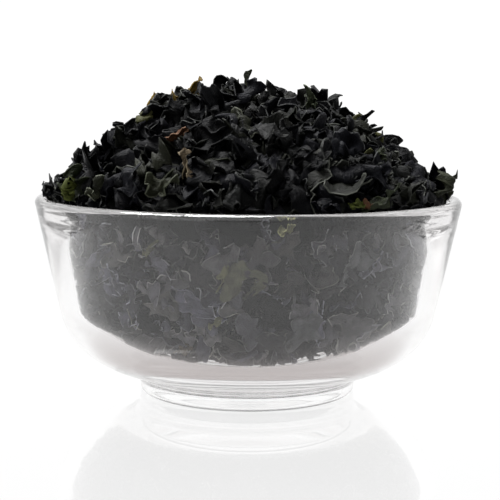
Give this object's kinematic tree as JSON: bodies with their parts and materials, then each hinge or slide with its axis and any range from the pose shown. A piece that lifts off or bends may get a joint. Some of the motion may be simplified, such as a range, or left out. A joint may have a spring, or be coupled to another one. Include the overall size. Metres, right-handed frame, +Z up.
{
  "type": "bowl of dried wakame",
  "caption": "Small clear glass bowl on a foot ring, filled and heaped with dark, curled flakes of dried wakame seaweed.",
  "frame": {"origin": "on the table, under the middle of the bowl's foot ring", "axes": "+Z up along the bowl's axis; the picture looks along +Y, with +X to the right"},
  "size_m": [0.1252, 0.1252, 0.0923],
  "materials": {
    "glass": "clear, polished",
    "wakame": "dry and dark, with a dull sheen"
  },
  "bodies": {
    "root": {"bowl": "glass", "wakame_heap": "wakame"}
  },
  "joints": []
}
